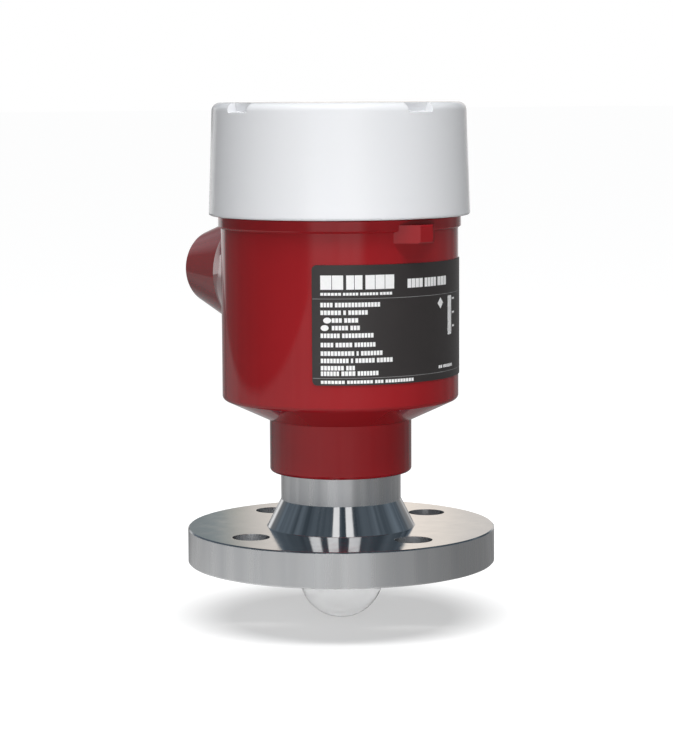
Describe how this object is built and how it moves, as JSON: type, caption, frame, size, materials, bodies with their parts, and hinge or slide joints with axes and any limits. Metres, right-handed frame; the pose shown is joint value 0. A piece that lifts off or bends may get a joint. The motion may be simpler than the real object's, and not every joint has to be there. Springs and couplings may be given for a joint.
{
  "type": "radar level transmitter",
  "caption": "Flanged radar level transmitter with a dome lens antenna, a swivelling round cast housing with a cable entry, and a tall screw lid over the display and terminals.",
  "frame": {"origin": "centre of the flange's raised sealing face", "axes": "+Z along the neck towards the lid, +Y towards the cable entry, the label and lock lug face -Y"},
  "size_m": [0.15, 0.1785, 0.2518],
  "materials": {
    "steel": "satin turned stainless steel",
    "lens_plastic": "satin translucent white polypropylene",
    "black_rubber": "matte",
    "aluminium": "satin",
    "brass": "satin",
    "circuit_board": "satin",
    "chip_black": "matte",
    "zinc_screw": "satin",
    "connector_ivory": "satin",
    "grey_plastic": "satin",
    "red_paint": "gloss red paint on cast aluminium",
    "label_black": "satin dark plate",
    "black_plastic": "satin",
    "lcd_green": "satin",
    "window_clear": "gloss clear pane",
    "key_grey": "satin",
    "white_plastic": "gloss white moulded plastic"
  },
  "bodies": {
    "process_connection": {"flange_neck": "steel", "lens": "lens_plastic", "lens_seal": "black_rubber", "lens_clamp_ring": "aluminium", "antenna_horn": "aluminium", "board_standoffs": "brass", "radar_board": "circuit_board", "radar_chip": "chip_black", "board_screws": "zinc_screw", "board_connector": "connector_ivory", "radar_lead": "chip_black", "feedthrough": "grey_plastic", "swivel_seals": "black_rubber", "slide_washer": "lens_plastic", "retaining_ring": "zinc_screw"},
    "housing": {"swivel_collar": "red_paint", "collar_seal": "black_rubber", "collar_set_screw": "zinc_screw", "housing": "red_paint", "lid_lock_screw": "zinc_screw", "label": "label_black", "lead_plug": "chip_black", "signal_lead": "black_rubber", "electronics_cup": "black_plastic", "main_board": "circuit_board", "board_parts": "chip_black", "header_pins": "brass", "cup_cover": "black_plastic", "cover_screws": "zinc_screw", "terminal_block": "grey_plastic", "terminal_screws": "zinc_screw", "ground_clamp": "brass", "ground_screw": "zinc_screw", "display_pedestal": "black_plastic", "display_back": "black_plastic", "display_board": "circuit_board", "key_switches": "chip_black", "lcd_panel": "lcd_green", "display_case": "grey_plastic", "display_window": "window_clear"},
    "key_1": {"key_1": "key_grey"},
    "key_2": {"key_2": "key_grey"},
    "key_3": {"key_3": "key_grey"},
    "key_4": {"key_4": "key_grey"},
    "lid_seal": {"lid_seal": "black_rubber"},
    "lid": {"lid": "white_plastic"}
  },
  "joints": [
    {"name": "housing_swivel", "type": "hinge", "parent": "process_connection", "child": "housing", "pos_m": [0, 0, 0], "axis": [0, 0, 1], "range_deg": [-165, 165]},
    {"name": "lid_turn", "type": "hinge", "parent": "housing", "child": "lid_seal", "pos_m": [0, 0, 0], "axis": [0, 0, 1], "range_deg": [0, 1080]},
    {"name": "lid_lift", "type": "slide", "parent": "lid_seal", "child": "lid", "axis": [0, 0, 1], "range_m": [0, 0.012]},
    {"name": "key_1_press", "type": "slide", "parent": "housing", "child": "key_1", "axis": [0, 0, 1], "range_m": [-0.001, 0], "stiffness_N_per_m": 500, "springref_m": 0.0003},
    {"name": "key_2_press", "type": "slide", "parent": "housing", "child": "key_2", "axis": [0, 0, 1], "range_m": [-0.001, 0], "stiffness_N_per_m": 500, "springref_m": 0.0003},
    {"name": "key_3_press", "type": "slide", "parent": "housing", "child": "key_3", "axis": [0, 0, 1], "range_m": [-0.001, 0], "stiffness_N_per_m": 500, "springref_m": 0.0003},
    {"name": "key_4_press", "type": "slide", "parent": "housing", "child": "key_4", "axis": [0, 0, 1], "range_m": [-0.001, 0], "stiffness_N_per_m": 500, "springref_m": 0.0003}
  ],
  "couplings": [
    {"joint": "lid_lift", "follows": "lid_turn", "m_per_rad": 0.00063661}
  ]
}
